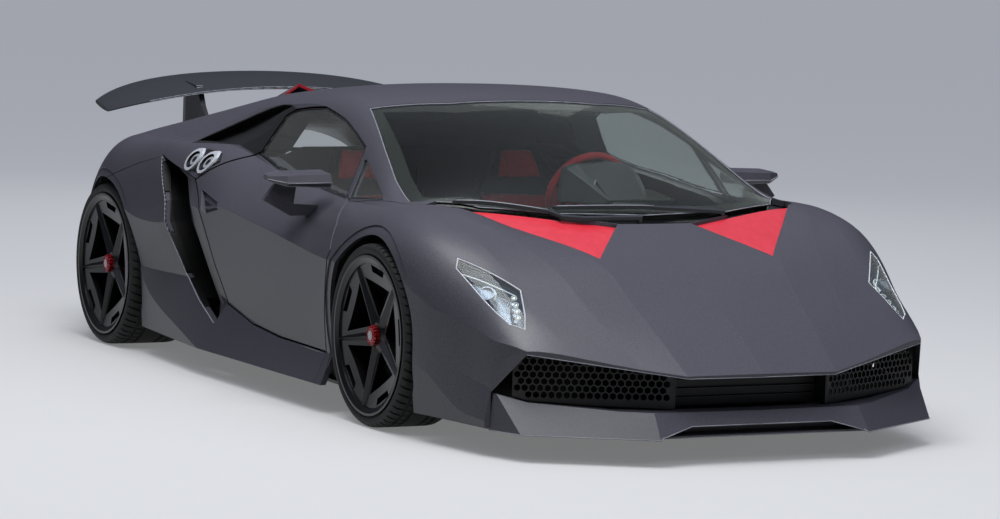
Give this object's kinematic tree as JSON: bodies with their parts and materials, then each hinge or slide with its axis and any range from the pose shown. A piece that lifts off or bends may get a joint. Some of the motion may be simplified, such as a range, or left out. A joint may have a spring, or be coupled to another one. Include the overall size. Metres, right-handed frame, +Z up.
{
  "type": "supercar",
  "caption": "Low mid-engined two-seat supercar with a wedge nose, carbon body panels, side doors, steered front wheels, a rear wing and a diffuser.",
  "frame": {"origin": "on the floor, in the middle of the length and width", "axes": "+X towards the nose, +Y to the left side of the car, +Z up"},
  "size_m": [4.559, 2.192, 1.165],
  "materials": {
    "alloy": "satin",
    "black_plastic": "matte",
    "carbon_black": "satin",
    "carbon_body": "satin",
    "cast_alloy": "cast",
    "chrome": "polished",
    "clear_glass": "polished",
    "lamp_grey": "gloss",
    "red_caliper": "gloss",
    "red_lens": "gloss",
    "red_satin": "satin",
    "red_suede": "suede",
    "rim_black": "satin",
    "seat_fabric": "woven",
    "steel": "brushed",
    "tinted_glass": "polished",
    "tyre": "matte"
  },
  "bodies": {
    "body": {"bonnet_vent_left": "red_satin", "bonnet_vent_right": "red_satin", "buttress_duct_left": "black_plastic", "buttress_duct_right": "black_plastic", "cowl": "black_plastic", "dashboard": "black_plastic", "engine": "cast_alloy", "engine_cover": "carbon_black", "exhaust": "steel", "filler_plate": "chrome", "front_clam": "carbon_body", "front_frame": "alloy", "headlamp_housing_left": "lamp_grey", "headlamp_housing_right": "lamp_grey", "headlamp_lens_left": "clear_glass", "headlamp_lens_right": "clear_glass", "intake_duct_left": "carbon_body", "intake_duct_right": "carbon_body", "nose_grille": "black_plastic", "quarter_glass_left": "clear_glass", "quarter_glass_right": "clear_glass", "quarter_panel_left": "carbon_body", "quarter_panel_right": "carbon_body", "rear_clam": "carbon_body", "rear_frame": "alloy", "rear_knuckle_left": "red_caliper", "rear_knuckle_right": "red_caliper", "roof_scoop_left": "carbon_body", "roof_scoop_right": "carbon_body", "seat_left": "seat_fabric", "seat_right": "seat_fabric", "skirt_left": "carbon_body", "skirt_right": "carbon_body", "splitter": "carbon_body", "steering_wheel": "red_suede", "tail_lamp_left": "red_lens", "tail_lamp_right": "red_lens", "tail_panel": "black_plastic", "tub": "carbon_black", "undertray": "carbon_black", "upper_body": "carbon_body", "windscreen": "tinted_glass", "wing": "carbon_black"},
    "door_right": {"door_right": "carbon_body", "door_glass_right": "clear_glass", "mirror_right": "carbon_body"},
    "front_hub_right": {"front_knuckle_right": "red_caliper"},
    "front_wheel_right": {"front_tyre_right": "tyre", "front_rim_right": "rim_black"},
    "rear_wheel_right": {"rear_tyre_right": "tyre", "rear_rim_right": "rim_black"},
    "door_left": {"door_left": "carbon_body", "door_glass_left": "clear_glass", "mirror_left": "carbon_body"},
    "front_hub_left": {"front_knuckle_left": "red_caliper"},
    "front_wheel_left": {"front_tyre_left": "tyre", "front_rim_left": "rim_black"},
    "rear_wheel_left": {"rear_tyre_left": "tyre", "rear_rim_left": "rim_black"}
  },
  "joints": [
    {"name": "door_hinge_right", "type": "hinge", "parent": "body", "child": "door_right", "pos_m": [0.69, -0.955, 0.45], "axis": [0, 0, 1], "range_deg": [0, 60]},
    {"name": "steer_right", "type": "hinge", "parent": "body", "child": "front_hub_right", "pos_m": [1.12, -0.765, 0.328], "axis": [0, 0, 1], "range_deg": [-28, 28]},
    {"name": "front_wheel_spin_right", "type": "hinge", "parent": "front_hub_right", "child": "front_wheel_right", "pos_m": [1.12, -0.8455, 0.328], "axis": [0, 1, 0], "continuous": true},
    {"name": "rear_wheel_spin_right", "type": "hinge", "parent": "body", "child": "rear_wheel_right", "pos_m": [-1.44, -0.8475, 0.336], "axis": [0, 1, 0], "continuous": true},
    {"name": "door_hinge_left", "type": "hinge", "parent": "body", "child": "door_left", "pos_m": [0.69, 0.955, 0.45], "axis": [0, 0, -1], "range_deg": [0, 60]},
    {"name": "steer_left", "type": "hinge", "parent": "body", "child": "front_hub_left", "pos_m": [1.12, 0.765, 0.328], "axis": [0, 0, 1], "range_deg": [-28, 28]},
    {"name": "front_wheel_spin_left", "type": "hinge", "parent": "front_hub_left", "child": "front_wheel_left", "pos_m": [1.12, 0.8455, 0.328], "axis": [0, 1, 0], "continuous": true},
    {"name": "rear_wheel_spin_left", "type": "hinge", "parent": "body", "child": "rear_wheel_left", "pos_m": [-1.44, 0.8475, 0.336], "axis": [0, 1, 0], "continuous": true}
  ],
  "couplings": [
    {"joint": "steer_left", "follows": "steer_right", "ratio": 1}
  ]
}
